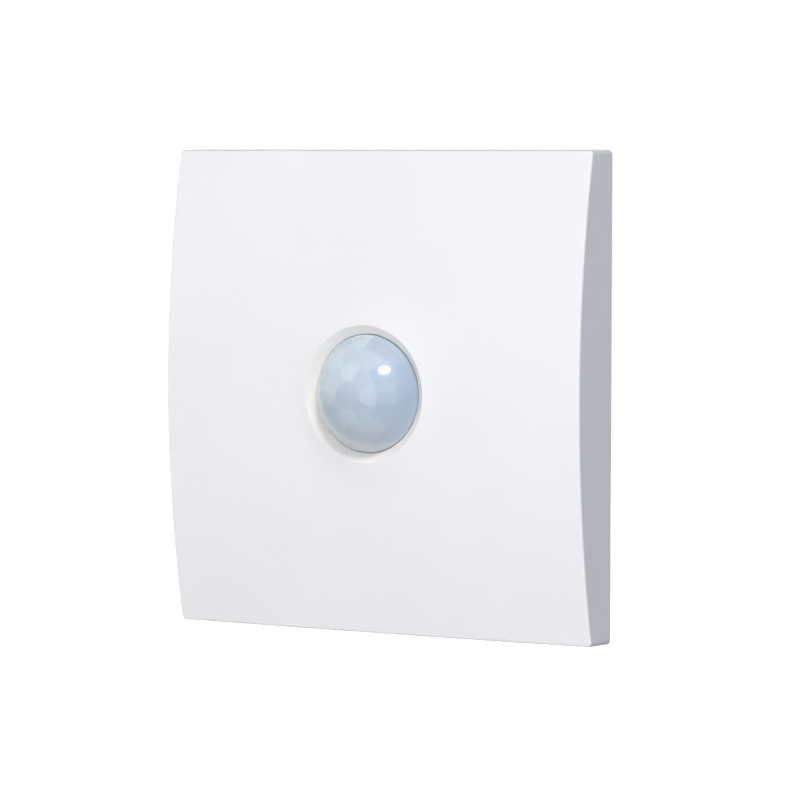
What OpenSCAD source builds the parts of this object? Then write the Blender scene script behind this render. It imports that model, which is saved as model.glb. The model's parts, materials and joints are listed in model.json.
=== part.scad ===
// Motion sensor light switch: a clip-on square cover with a domed lens, over a flush wall insert.
// Pieces are drawn lying on their backs, with x to the right, y up the wall and z out of the wall.
// upright() stands them up, so the finished part faces -Y with +Z up and the wall plane at Y = 0.
// behind() does the same for pieces in the wall box, where z is the depth behind the wall plane.

/* [Cover plate] */
// Width and height of the square cover
plate_w = 86; // [82:1:92]
// Depth of the cover at its four corners
plate_corner = 6.8; // [6.4:0.1:7.6]
// Rise of the front from its top and bottom edges to the middle
plate_crown = 4.6; // [4.2:0.1:5.2]
// Rise of the front from its left and right edges to the middle
plate_pillow = 0.9; // [0.6:0.1:1.2]
// Wall of the cover
plate_wall = 2; // [1.6:0.1:2.2]
// Rounding of the front edges
plate_edge_r = 0.7; // [0.4:0.1:1]
// Rounding of the four corners, seen from the front
plate_corner_r = 0.9; // [0.5:0.1:1.5]
// Width of each of the four tongues that hold the cover on
tongue_w = 8; // [6:0.5:10]
// Thickness of a tongue
tongue_t = 1.4; // [1:0.1:1.8]
// Height of the tongues above and below the middle of the cover
tongue_y = 14; // [12:0.5:16]

/* [Lens opening] */
// Gap between the lens and the edge of the round opening
throat_gap = 0.1; // [0.1:0.05:0.3]
// Width of the bevelled rim, from the edge of the opening to its crest
crest_w = 1.7; // [1.5:0.05:1.9]
// Rounding of the crest
crest_round = 0.35; // [0.25:0.05:0.45]
// Height of the crest above the middle of the front
crest_rise = 0.35; // [0.2:0.05:0.5]
// Depth of the bevel below the crest
bevel_depth = 1.4; // [1.2:0.05:1.6]
// Radius at which the rim has run out into the front
flare_r = 20; // [18:0.5:22]

/* [Lens] */
// Radius of the lens where it comes through the opening
lens_r = 10.45; // [10.2:0.05:10.7]
// Radius of the dome
dome_r = 11.3; // [11:0.1:12]
// Height of the dome above the middle of the front
lens_rise = 5.95; // [5.5:0.05:6.4]
// Wall of the lens
lens_skin = 0.9; // [0.6:0.1:1.2]
// Radius of the flange that the lens is held by
lens_flange_r = 13.2; // [12.6:0.1:14]
// Thickness of that flange
lens_flange_t = 1; // [0.8:0.1:1.2]
// Thickness of the ring that clamps the flange
ring_t = 0.8; // [0.6:0.1:1]
// Wall of the ring's skirt
ring_wall = 0.9; // [0.7:0.1:1.2]

/* [Front housing] */
// How far the front housing reaches past the rear housing at each side
lap_x = 1; // [0.6:0.1:1.4]
// How far the front housing reaches past the rear housing above and below
lap_y = 3; // [2.4:0.1:3.4]
// Wall of the front housing
housing_wall = 1.6; // [1.2:0.1:1.8]
// Outer radius of the boss that carries the lens
boss_r = 15; // [14.4:0.1:15.4]
// Bore of that boss
boss_bore_r = 9.8; // [9.4:0.1:10.2]
// Radius of each post that takes a housing screw
post_r = 3; // [2.6:0.1:3.2]
// Radius of each post that takes a board screw
board_post_r = 2.2; // [1.8:0.1:2.4]

/* [Clip springs] */
// Thickness of the spring strip
spring_t = 0.3; // [0.2:0.05:0.4]
// Width of the spring strip
spring_w = 5; // [4:0.5:6]
// How far the bow of a spring stands out of the housing
spring_bow = 1.05; // [0.8:0.05:1.2]

/* [Mounting frame] */
// Room between the edge of the steel frame and the cover's wall
frame_room = 2.5; // [2:0.1:4]
// Thickness of the steel
frame_t = 1.2; // [1:0.1:1.4]
// Distance between the two fixing slots
slot_spacing = 60.3; // [60:0.1:60.6]
// Length of a fixing slot
slot_length = 7; // [6:0.5:8]
// Width of a fixing slot
slot_w = 4; // [3.6:0.1:4.4]
// Height of the turned-up lips on the top and bottom edges
lip_h = 2; // [1:0.1:2.6]

/* [Rear housing] */
// Width of the rear housing
rear_w = 48; // [47:0.2:49]
// Height of the rear housing
rear_h = 58; // [56:0.5:59]
// Depth of the rear housing behind the wall plane
rear_depth = 24; // [23:0.2:26]
// Wall of the rear housing
rear_wall = 1.6; // [1.4:0.1:1.8]
// Side of each square corner column
column_w = 7; // [6.4:0.1:7.4]
// Radius of the spigot on each column that the power board fits over
spigot_r = 2.5; // [2.2:0.1:2.8]
// Depth of the power board behind the wall plane
board_drop = 3; // [2.6:0.1:3.4]
// Length of a vent slot in the back
vent_length = 14; // [10:0.5:16]

/* [Boards] */
// Thickness of the circuit boards
board_t = 1.6; // [1.2:0.1:1.8]
// Number of pins that join the two boards
pin_count = 5; // [3:1:6]
// Distance between two pins
pin_pitch = 2.54; // [2:0.02:2.54]
// Side of a square pin
pin_w = 0.64; // [0.5:0.02:0.7]

/* [Sensor] */
// Radius of the sensor can
can_r = 4.1; // [3.8:0.1:4.3]
// Height of the sensor can
can_h = 4; // [3.6:0.1:4.2]
// Radius of the flange under the can
can_flange_r = 4.6; // [4.4:0.1:4.8]
// Height of the spacer that the sensor stands on
spacer_h = 0.6; // [0.4:0.1:1]
// Width of the window in the can
window_w = 4; // [3:0.1:4.4]
// Height of the window in the can
window_h = 3; // [2.4:0.1:3.4]
// Distance of the light sensor and the indicator from the middle
eye_x = 7.4; // [7.2:0.1:7.6]
// Radius of the light sensor
light_r = 2; // [1.6:0.1:2.1]
// Radius of the indicator's dome
led_r = 1.5; // [1:0.1:1.5]

/* [Adjusters] */
// Width of each trimmer's square body
trimmer_w = 6.6; // [6:0.1:7]
// Height of a trimmer's body
trimmer_h = 1.9; // [1.6:0.1:2]
// Radius of an adjuster knob
knob_r = 2.7; // [2.2:0.1:3]
// Distance of each adjuster from the side edge of its board
knob_inset = 8.9; // [8:0.1:10]
// How far a knob stands out of the housing
knob_rise = 0.6; // [0.4:0.1:0.8]
// Radius of a knob's shaft
shaft_r = 1.2; // [0.9:0.1:1.4]
// Width of the screwdriver slots
driver_slot = 0.8; // [0.6:0.1:1]

/* [Screws] */
// Radius of the housing screws
screw_r = 1.25; // [1:0.05:1.4]
// Radius of a housing screw's head
screw_head_r = 2.3; // [2.1:0.1:2.5]
// Height of a housing screw's head
screw_head_h = 1.8; // [1.4:0.1:2]
// Radius of the board screws
board_screw_r = 0.9; // [0.7:0.05:1]
// Radius of a board screw's head
board_head_r = 1.8; // [1.5:0.1:2]

/* [Terminals] */
// Distance between two poles
pole_pitch = 8.4; // [8.2:0.1:9]
// Height of the terminal block
block_h = 13; // [12.6:0.1:13.6]
// Width inside a clamp cage, which takes the wire
cage_in_w = 4.8; // [4.6:0.1:5]
// Space for the wire in an open cage
wire_gap = 4.6; // [4.4:0.1:5]
// Length of a cage along the wire
cage_length = 6; // [5:0.1:6.4]
// Wall of a cage
cage_wall = 0.7; // [0.5:0.05:0.8]
// Thickness of a cage's tapped wall
cage_nut = 1.8; // [1.4:0.1:2]
// How far a cage is drawn up by its screw
cage_travel = 2.6; // [2:0.1:2.8]
// Radius of a clamp screw
clamp_r = 1.5; // [1.3:0.05:1.6]
// Radius of a clamp screw's head
clamp_head_r = 2.5; // [2.2:0.1:2.6]
// Height of a clamp screw's head
clamp_head_h = 2; // [1.6:0.1:2.2]
// Thickness of the contact tags
tag_t = 0.8; // [0.6:0.1:1]
// Width of the contact tags
tag_w = 3.8; // [3:0.1:4]

/* [Relay] */
// Width of the relay
relay_w = 19; // [18.6:0.1:19.4]
// Height of the relay up the wall
relay_h = 15.5; // [15:0.1:16]
// Depth of the relay
relay_d = 15.4; // [15.2:0.1:16]
// Wall of the relay's cover
relay_wall = 0.8; // [0.6:0.1:1]
// Thickness of the relay's base
relay_base_t = 1.4; // [1.2:0.1:1.6]
// Thickness of the iron in the yoke
yoke_t = 1.2; // [1:0.1:1.3]
// Width of the yoke and armature
yoke_w = 8; // [6:0.1:9]
// Radius of the coil's core
core_r = 1.8; // [1.5:0.1:2]
// Radius of the wound coil
coil_r = 4.7; // [4.2:0.1:4.8]
// Length of the coil between its flanges
coil_length = 6.1; // [5.8:0.1:6.2]
// Working gap between the pole and the armature
pole_gap = 0.5; // [0.45:0.05:0.6]
// Thickness of the armature
armature_t = 1; // [0.8:0.1:1.1]
// Radius of the contact buttons
button_r = 1; // [0.8:0.1:1.1]

/* [Components] */
// Width of the film capacitor
film_w = 18; // [16:0.5:18.5]
// Thickness of the film capacitor
film_t = 8.5; // [8:0.1:9]
// Depth of the film capacitor
film_d = 14; // [12:0.5:16]
// Radius of the smoothing capacitor
smooth_r = 4; // [3.5:0.1:4.2]
// Depth of the smoothing capacitor
smooth_d = 12.5; // [11:0.5:15]
// Radius of the varistor
varistor_r = 4.5; // [4:0.1:4.6]
// Thickness of the varistor
varistor_t = 3.6; // [3:0.1:4]
// Radius of the fuse resistor
fuse_r = 1.9; // [1.5:0.1:2.1]
// Length of the fuse resistor
fuse_length = 10; // [9:0.5:11]

/* [Clearances] */
// Clearance of pieces that are seated in or on each other
seat_gap = 0.1; // [0.05:0.01:0.15]
// Running clearance of pieces that turn or slide
run_gap = 0.05; // [0.03:0.01:0.08]
// Clearance of pieces that pass freely
free_gap = 0.3; // [0.25:0.05:0.4]
// Room between the inside of the cover and what it covers
cover_gap = 0.8; // [0.6:0.1:1]
// Room between a board and the walls beside it
board_gap = 1.5; // [1.2:0.1:1.8]

/* [Hidden] */
$fn = 96;
// Reach of a cutting shape past the surface that it cuts
cut = 1;

// Front of the cover: an arc up the wall, and a flatter one across it
plate_half = plate_w / 2;
plate_front = plate_corner + plate_crown + plate_pillow;
crown_r = (pow(plate_half, 2) + pow(plate_crown, 2)) / (2 * plate_crown);
pillow_r = (pow(plate_half, 2) + pow(plate_pillow, 2)) / (2 * plate_pillow);
crown_z = plate_front - crown_r;
// Sweep of each arc, a little past both edges
sweep_reach = 2.4;
crown_sweep = sweep_reach * asin(plate_half / (crown_r - plate_front));
pillow_sweep = sweep_reach * asin(plate_half / (pillow_r - plate_front));
// Flats in an arc across the front, and in each small rounding
front_steps = 8;
round_steps = 6;
// Angle by which the edge roundings stop short of the front, for a clear edge
edge_lead = 4;
// Corner roundings of the frame, the housings, the boards and the small boxes
frame_round = 4;
rear_round = 3;
housing_round = 2;
board_round = 1.5;
box_round = 0.6;

function front_z(x, y) =
    crown_z + sqrt(pow(crown_r - pillow_r + sqrt(pow(pillow_r, 2) - x * x), 2) - y * y);

// Rim round the opening
throat_r = lens_r + throat_gap;
crest_r = throat_r + crest_w;
crest_z = plate_front + crest_rise;
crest_low = bevel_depth - crest_round;
bevel_angle = 90 + atan2(crest_low, crest_w) + asin(crest_round / norm([crest_w, crest_low]));
flare_angle = 78;

// Heights in front of the wall plane
housing_w = rear_w + 2 * lap_x;
housing_h = rear_h + 2 * lap_y;
housing_front = front_z(housing_w / 2, housing_h / 2) - plate_wall - cover_gap;
housing_roof = housing_front - housing_wall;
ring_r = boss_r + seat_gap + ring_wall;
ring_front = front_z(0, ring_r) - plate_wall - cover_gap;
flange_front = ring_front - ring_t;
lens_seat = flange_front - lens_flange_t;
lens_front = plate_front + lens_rise;
dome_z = lens_front - dome_r;
board_front = housing_roof - trimmer_h - seat_gap;
board_back = board_front - board_t;

// Corners where the housing screws run
column_inset = 0.5;
screw_x = rear_w / 2 - column_w / 2 - column_inset;
screw_y = rear_h / 2 - column_w / 2;
// Sensor board, between the posts, with its screws, pins and adjusters near its edges
board_margin = 1;
sensor_w = housing_w - 2 * housing_wall - 2 * board_gap;
sensor_h = 2 * (screw_y - post_r - board_gap);
sensor_screw_x = sensor_w / 2 - board_post_r - board_margin;
header_y = sensor_h / 2 - pin_pitch;
pin_hole_r = pin_w * sqrt(0.5) + seat_gap;
knob_x = sensor_w / 2 - knob_inset;
knob_y = trimmer_w / 2 + seat_gap - sensor_h / 2;

// Grip of the cover on the housing
grip_x = housing_w / 2 + spring_bow + run_gap;
spring_low = frame_t + 2 * free_gap;
spring_high = housing_front - free_gap;

// Steel frame, inside the cover's wall
frame_w = plate_w - 2 * (plate_wall + frame_room);
lip_inset = 8;

// Sensor on the sensor board
can_base_t = 0.4;
can_skin = 0.25;
can_low = board_front + spacer_h + can_base_t;
can_lead_r = 0.25;
can_lead_ring = 2.5;
window_lip = 0.4;
window_t = 0.4;
light_h = 1.8;
light_track = 0.2;
led_rim = 0.35;
led_rim_h = 1;
led_h = 3;
board_head_h = 1;
trimmer_floor = 0.4;
board_screw_bite = 6;

// Depths behind the wall plane
power_back = board_drop + board_t;
rear_roof = rear_depth - rear_wall;
in_x = rear_w / 2 - rear_wall;
in_y = rear_h / 2 - rear_wall;
power_screw_x = in_x - board_post_r - 2 * free_gap;
vent_count = 5;
vent_pitch = 2.6;
vent_w = 1.2;
vent_y = screw_y - column_w / 2 - vent_count * vent_pitch;

// Terminal block: heights up the wall, then depths from the power board
pole_count = 3;
pole_wall = 1.6;
entry_wall = 3.4;
entry_gap = 0.1;
block_floor = 1.4;
block_w = pole_count * pole_pitch + pole_wall;
block_low = -rear_h / 2;
block_high = block_low + block_h;
cage_w = cage_in_w + 2 * cage_wall;
cage_low = block_low + entry_wall;
cage_high = cage_low + cage_length;
clamp_y = (cage_low + cage_high) / 2;
cage_front = power_back + block_floor;
tag_front = cage_front + cage_wall + wire_gap;
tag_back = tag_front + tag_t;
nut_front = tag_back + free_gap;
nut_back = nut_front + cage_nut;
pocket_back = nut_back + cage_travel + free_gap;
clamp_head_z = pocket_back + pole_wall;
tag_leg_y = block_high - pole_wall;

// Relay, from the power board back, beside the left wall
relay_x = free_gap + relay_w / 2 - in_x;
relay_y = screw_y - column_w / 2 - free_gap - relay_h / 2;
blade_t = 0.4;
blade_room = 1;
bobbin_lip = 0.3;
bobbin_flange = 0.7;
bobbin_tube = 0.5;
pole_lip = 1;
pole_t = 0.5;
yoke_foot = 1.6;
heel_gap = 0.06;
button_h = 1.1;
button_inset = 1;
contact_gap = 0.66;
contact_inset = 1.6;
yoke_x = relay_x - relay_w / 2 + relay_wall + 2 * free_gap;
yoke_z = power_back + relay_base_t;
pole_z = power_back + relay_d - relay_wall - blade_room - blade_t - armature_t - pole_gap;
core_x = yoke_x + yoke_t + 2 * free_gap + coil_r + bobbin_lip;
bobbin_z = yoke_z + yoke_t + free_gap;
bobbin_high = bobbin_z + coil_length + 2 * bobbin_flange;
armature_z = pole_z + pole_gap;
armature_top = armature_z + armature_t;
contact_x = relay_x + relay_w / 2 - relay_wall - contact_inset;
button_x = contact_x - button_r - button_inset;
fixed_top = armature_top - button_h - contact_gap;

// Stations of the other components on the power board
part_gap = 1.2;
film_x = in_x - free_gap - film_w / 2;
film_y = screw_y - column_w / 2 - free_gap - film_t / 2;
varistor_x = in_x - part_gap - varistor_r;
varistor_y = film_y - film_t / 2 - part_gap - varistor_t / 2;
varistor_rise = 1.2;
smooth_x = varistor_x - varistor_r - part_gap - smooth_r;
smooth_y = film_y - film_t / 2 - part_gap - smooth_r;
smooth_foot = 1.4;
smooth_crimp = 0.4;
smooth_score = 0.3;
rectifier_size = [8.4, 6.4, 3.2];
rectifier_at = [relay_x, relay_y - relay_h / 2 - 5 * part_gap - rectifier_size[1] / 2];
fuse_x = smooth_x - part_gap;
fuse_y = block_high + 3 * part_gap + fuse_r;
fuse_rise = 0.4;
lead_r = 0.4;
lead_reach = 1.2;
transistor_r = 2.3;
transistor_d = 4.6;
transistor_at = [smooth_x - smooth_r - 3 * part_gap, fuse_y + fuse_r + 4 * part_gap];
chip_size = [10, 4, 1.5];
chip_legs = 8;
chip_leg = [0.4, 0.9, 0.4];
chip_y = (boss_bore_r + header_y - pin_pitch / 2) / 2;

module upright() {
    rotate([90, 0, 0]) children();
}

module behind() {
    upright() mirror([0, 0, 1]) children();
}

// Box between two opposite corners
module span(low, high) {
    translate(low) cube(high - low);
}

// Disc of a radius between two heights
module disc(r, low, high) {
    translate([0, 0, low]) cylinder(r = r, h = high - low);
}

function corner_arc(x, y, r, from) =
    [for (i = [0 : round_steps]) let (a = from + 90 * i / round_steps) [x + r * cos(a), y + r * sin(a)]];

function round_rect(w, h, r) = concat(
    corner_arc(w / 2 - r, h / 2 - r, r, 0),
    corner_arc(r - w / 2, h / 2 - r, r, 90),
    corner_arc(r - w / 2, r - h / 2, r, 180),
    corner_arc(w / 2 - r, r - h / 2, r, 270)
);

// Upright slab with rounded corners between two heights
module slab(w, h, r, low, high) {
    translate([0, 0, low]) linear_extrude(high - low) polygon(round_rect(w, h, r));
}

module at_corners(x, y) {
    for (sx = [-1, 1], sy = [-1, 1]) translate([sx * x, sy * y, 0]) children();
}

module at_sides(x) {
    for (s = [-1, 1]) translate([s * x, 0, 0]) children();
}

module at_poles() {
    for (i = [0 : pole_count - 1]) translate([pole_x(i), 0, 0]) children();
}

function pole_x(i) = (i - (pole_count - 1) / 2) * pole_pitch;

// Part of a circle's points, from one angle to another
function arc(x, y, r, from, to, steps) =
    [for (i = [0 : steps]) let (a = from + (to - from) * i / steps) [x + r * cos(a), y + r * sin(a)]];

// Section across the front, swept up the wall on the crown's arc
module crown_sweep_of(points) {
    translate([0, 0, crown_z]) rotate([0, -90, 0])
        rotate_extrude(angle = crown_sweep, start = -crown_sweep / 2) polygon(points);
}

// Section up the wall, swept across the front on the pillow's arc
module pillow_sweep_of(points) {
    translate([0, 0, plate_front - pillow_r]) rotate([-90, -90, 0])
        rotate_extrude(angle = pillow_sweep, start = -pillow_sweep / 2) polygon(points);
}

module plate_outside() {
    e = plate_edge_r;
    edge_y = plate_half - e;
    low_r = crown_r - plate_front - cut;
    side_r = crown_r - pillow_r + sqrt(pow(pillow_r - e, 2) - pow(edge_y, 2));
    side_a = asin(edge_y / (pillow_r - e));
    top_z = crown_z + sqrt(pow(crown_r - e, 2) - pow(edge_y, 2));
    top_r = top_z - plate_front + pillow_r;
    top_a = asin(edge_y / (crown_r - e)) + edge_lead;
    ridge_r = top_r + e * cos(top_a) + (edge_y + e * sin(top_a)) * tan(top_a);
    base_r = pillow_r - plate_front - cut;
    intersection() {
        crown_sweep_of(concat(
            [[low_r, -plate_half]],
            arc(side_r, -edge_y, e, -90, -side_a - edge_lead, round_steps),
            arc(crown_r - pillow_r, 0, pillow_r, -side_a, side_a, 2 * front_steps),
            arc(side_r, edge_y, e, side_a + edge_lead, 90, round_steps),
            [[low_r, plate_half]]
        ));
        pillow_sweep_of(concat(
            [[base_r, -plate_half]],
            arc(top_r, -edge_y, e, -90, -top_a, round_steps),
            [[ridge_r, 0]],
            arc(top_r, edge_y, e, top_a, 90, round_steps),
            [[base_r, plate_half]]
        ));
        slab(plate_w, plate_w, plate_corner_r, 0, plate_front + cut);
    }
}

module plate_inside() {
    half = plate_half - plate_wall;
    inner_r = pillow_r - plate_wall;
    low_r = crown_r - plate_front - cut;
    inner_a = asin(half / inner_r);
    intersection() {
        crown_sweep_of(concat(
            [[low_r, -half]],
            arc(crown_r - pillow_r, 0, inner_r, -inner_a, inner_a, 2 * front_steps),
            [[low_r, half]]
        ));
        slab(2 * half, 2 * half, plate_corner_r, -cut, plate_front);
    }
}

// Raised rim with the bevel down to the lens
module opening_rim() {
    rotate_extrude() polygon(concat(
        [[throat_r, plate_front - plate_wall], [throat_r, crest_z - bevel_depth]],
        arc(crest_r, crest_z - crest_round, crest_round, bevel_angle, flare_angle, round_steps),
        [
            [flare_r, front_z(0, flare_r) - run_gap],
            [flare_r, front_z(0, flare_r) - plate_wall / 2]
        ]
    ));
}

// Tongue that slides over a clip spring, run up into the cover's wall
module cover_tongue() {
    far_y = tongue_y + tongue_w / 2;
    span([grip_x, tongue_y - tongue_w / 2, frame_t + free_gap],
        [grip_x + tongue_t, far_y, front_z(grip_x + tongue_t, far_y) - plate_wall / 2]);
}

module cover_plate() {
    color("white") upright() {
        difference() {
            plate_outside();
            plate_inside();
            disc(crest_r, 0, crest_z + cut);
        }
        opening_rim();
        for (sx = [0, 1], sy = [0, 1]) mirror([sx, 0, 0]) mirror([0, sy, 0]) cover_tongue();
    }
}

module lens() {
    color("lightsteelblue") upright() difference() {
        union() {
            intersection() {
                translate([0, 0, dome_z]) sphere(r = dome_r);
                disc(lens_r, lens_seat, lens_front + cut);
            }
            disc(lens_flange_r, lens_seat, flange_front);
        }
        intersection() {
            translate([0, 0, dome_z]) sphere(r = dome_r - lens_skin);
            disc(lens_r - lens_skin, lens_seat - cut, lens_front);
        }
    }
}

module lens_ring() {
    color("gainsboro") upright() difference() {
        disc(ring_r, housing_front + seat_gap, ring_front);
        disc(lens_r + free_gap, housing_front, ring_front + cut);
        disc(lens_flange_r + seat_gap, housing_front, flange_front);
        disc(boss_r + seat_gap, housing_front, lens_seat);
    }
}

module front_housing() {
    color("gainsboro") upright() difference() {
        union() {
            difference() {
                slab(housing_w, housing_h, housing_round, frame_t, housing_front);
                slab(housing_w - 2 * housing_wall, housing_h - 2 * housing_wall, box_round,
                    frame_t - cut, housing_roof);
            }
            disc(boss_r, housing_roof, lens_seat);
            at_corners(screw_x, screw_y) disc(post_r, frame_t, housing_roof + cut);
            at_sides(sensor_screw_x) disc(board_post_r, board_front, housing_roof + cut);
        }
        disc(boss_bore_r, 0, lens_seat + cut);
        at_corners(screw_x, screw_y) disc(screw_r + run_gap, 0, housing_roof);
        at_sides(sensor_screw_x) disc(board_screw_r + run_gap, 0, housing_roof);
        at_sides(knob_x) translate([0, knob_y, 0]) disc(knob_r + free_gap, 0, housing_front + cut);
        for (sx = [0, 1], sy = [0, 1]) mirror([sx, 0, 0]) mirror([0, sy, 0]) spring_seat(seat_gap);
    }
}

// Shallow recess in the side of the housing for the base of a clip spring
module spring_seat(gap) {
    span([housing_w / 2 - spring_t, tongue_y - spring_w / 2 - gap, spring_low - gap],
        [housing_w / 2 + cut, tongue_y + spring_w / 2 + gap, spring_high + gap]);
}

// Flat base strip with a bowed strip on it that presses on a tongue of the cover
module clip_spring() {
    base = housing_w / 2;
    middle = (spring_low + spring_high) / 2;
    reach = (spring_high - spring_low) / 2 - spring_t;
    bow_r = (reach * reach + spring_bow * spring_bow) / (2 * spring_bow);
    translate([0, tongue_y + spring_w / 2, 0]) rotate([90, 0, 0]) linear_extrude(spring_w) {
        translate([base - spring_t, spring_low]) square([spring_t, spring_high - spring_low]);
        intersection() {
            translate([base + spring_bow - bow_r, middle]) difference() {
                circle(r = bow_r);
                circle(r = bow_r - spring_t);
            }
            translate([base - spring_t / 2, spring_low])
                square([spring_bow + spring_t, spring_high - spring_low]);
        }
    }
}

module clip_springs() {
    color("silver") upright()
        for (sx = [0, 1], sy = [0, 1]) mirror([sx, 0, 0]) mirror([0, sy, 0]) clip_spring();
}

module mounting_frame() {
    color("lightgray") upright() difference() {
        union() {
            slab(frame_w, frame_w, frame_round, 0, frame_t);
            for (s = [0, 1]) mirror([0, s, 0])
                span([lip_inset - frame_w / 2, frame_w / 2 - frame_t, 0],
                    [frame_w / 2 - lip_inset, frame_w / 2, frame_t + lip_h]);
        }
        slab(sensor_w + 2 * free_gap, sensor_h + 2 * free_gap, box_round, -cut, frame_t + cut);
        at_corners(screw_x, screw_y) disc(screw_r + seat_gap, -cut, frame_t + cut);
        at_sides(slot_spacing / 2) {
            at_sides((slot_length - slot_w) / 2) disc(slot_w / 2, -cut, frame_t + cut);
            span([(slot_w - slot_length) / 2, -slot_w / 2, -cut],
                [(slot_length - slot_w) / 2, slot_w / 2, frame_t + cut]);
        }
    }
}

module at_pins() {
    for (i = [0 : pin_count - 1])
        translate([(i - (pin_count - 1) / 2) * pin_pitch, header_y, 0]) children();
}

module sensor_board() {
    color("seagreen") upright() difference() {
        slab(sensor_w, sensor_h, board_round, board_back, board_front);
        at_sides(sensor_screw_x) disc(board_screw_r + seat_gap, board_back - cut, board_front + cut);
        at_pins() disc(pin_hole_r, board_back - cut, board_front + cut);
    }
}

// Board screw with its slotted head under a seat, and its shank above it
module board_screw(seat, length) {
    head_low = seat - board_head_h;
    slot = driver_slot / 2;
    reach = board_head_r + cut;
    disc(board_screw_r, seat - board_head_h / 2, seat + length);
    difference() {
        disc(board_head_r, head_low, seat);
        span([-reach, -slot / 2, head_low - cut], [reach, slot / 2, head_low + slot]);
    }
}

module sensor_board_screws() {
    color("silver") upright() at_sides(sensor_screw_x)
        board_screw(board_back, housing_roof - board_back - run_gap);
}

module pir_spacer() {
    color("whitesmoke") upright() difference() {
        disc(can_flange_r, board_front, board_front + spacer_h);
        disc(can_lead_ring + can_lead_r + seat_gap, board_front - cut, board_front + spacer_h + cut);
    }
}

module pir_base() {
    color("silver") upright() {
        disc(can_flange_r, can_low - can_base_t, can_low);
        for (a = [90, 210, 330]) rotate([0, 0, a]) translate([can_lead_ring, 0, 0])
            disc(can_lead_r, board_front, can_low);
    }
}

module pir_can() {
    color("silver") upright() difference() {
        disc(can_r, can_low, can_low + can_h);
        disc(can_r - can_skin, can_low - cut, can_low + can_h - can_skin);
        span([-window_w / 2, -window_h / 2, can_low], [window_w / 2, window_h / 2, can_low + can_h + cut]);
    }
}

// Filter window, seated under the top of the can and reaching past its opening
module pir_window() {
    top = can_low + can_h - can_skin;
    half = [window_w / 2 + window_lip, window_h / 2 + window_lip];
    color("dimgray") upright() span([-half[0], -half[1], top - window_t], [half[0], half[1], top]);
}

module light_sensor() {
    color("sandybrown") upright() translate([-eye_x, 0, 0]) {
        disc(light_r, board_front, board_front + light_h);
        span([-light_r / 2, -light_track, board_front],
            [light_r / 2, light_track, board_front + light_h + light_track]);
    }
}

module indicator_led() {
    color("firebrick") upright() translate([eye_x, 0, 0]) {
        disc(led_r + led_rim, board_front, board_front + led_rim_h);
        disc(led_r, board_front, board_front + led_h);
        translate([0, 0, board_front + led_h]) sphere(r = led_r);
    }
}

// Chip with two rows of legs, across the upper part of the sensor board
module control_chip() {
    half = chip_size / 2;
    leg_y = half[1] + chip_leg[1];
    color("dimgray") upright() translate([0, chip_y, board_front]) {
        span([-half[0], -half[1], seat_gap], [half[0], half[1], chip_size[2]]);
        for (i = [0 : chip_legs - 1])
            translate([(i - (chip_legs - 1) / 2) * chip_size[0] / chip_legs - chip_leg[0] / 2, 0, 0])
                span([0, -leg_y, 0], [chip_leg[0], leg_y, chip_leg[2]]);
    }
}

module board_header() {
    half = pin_pitch / 2 - run_gap;
    row = pin_count * half;
    color("dimgray") upright() {
        at_pins() span([-pin_w / 2, -pin_w / 2, -power_back], [pin_w / 2, pin_w / 2, board_front]);
        span([-row, header_y - half, -board_drop], [row, header_y + half, board_back]);
    }
}

module trimmer_body() {
    translate([0, knob_y, board_front]) difference() {
        slab(trimmer_w, trimmer_w, box_round, 0, trimmer_h);
        disc(shaft_r + run_gap, trimmer_floor, trimmer_h + cut);
    }
}

module trimmer_knob() {
    low = board_front + trimmer_h + run_gap;
    high = housing_front + knob_rise;
    reach = knob_r + cut;
    translate([0, knob_y, 0]) difference() {
        union() {
            disc(shaft_r, board_front + trimmer_floor + run_gap, low + knob_rise);
            disc(knob_r, low, high);
        }
        span([-reach, -driver_slot / 2, high - driver_slot], [reach, driver_slot / 2, high + cut]);
    }
}

module time_trimmer() {
    color("royalblue") upright() translate([-knob_x, 0, 0]) trimmer_body();
}

module time_knob() {
    color("ivory") upright() translate([-knob_x, 0, 0]) trimmer_knob();
}

module lux_trimmer() {
    color("royalblue") upright() translate([knob_x, 0, 0]) trimmer_body();
}

module lux_knob() {
    color("ivory") upright() translate([knob_x, 0, 0]) trimmer_knob();
}

module rear_housing() {
    column = column_w / 2;
    color("whitesmoke") behind() difference() {
        union() {
            difference() {
                slab(rear_w, rear_h, rear_round, 0, rear_depth);
                slab(2 * in_x, 2 * in_y, board_round, -cut, rear_roof);
            }
            intersection() {
                slab(rear_w, rear_h, rear_round, 0, rear_depth);
                at_corners(screw_x, screw_y)
                    span([-column, -column, power_back], [column, column, rear_depth]);
            }
            at_corners(screw_x, screw_y) disc(spigot_r, 0, power_back + cut);
            at_sides(power_screw_x) disc(board_post_r, power_back, rear_roof + rear_wall / 2);
        }
        at_corners(screw_x, screw_y) {
            disc(screw_r + seat_gap, -cut, rear_depth + cut);
            disc(screw_head_r + free_gap, rear_depth - screw_head_h - free_gap, rear_depth + cut);
        }
        at_sides(power_screw_x)
            disc(board_screw_r + run_gap, power_back - cut, power_back + board_screw_bite);
        span([-block_w / 2 - seat_gap, block_low - cut, power_back],
            [block_w / 2 + seat_gap, block_high + seat_gap, rear_depth + cut]);
        for (i = [0 : vent_count - 1]) translate([0, vent_y + vent_pitch * i, 0])
            span([-vent_length / 2, 0, rear_roof - cut], [vent_length / 2, vent_w, rear_depth + cut]);
    }
}

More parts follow.
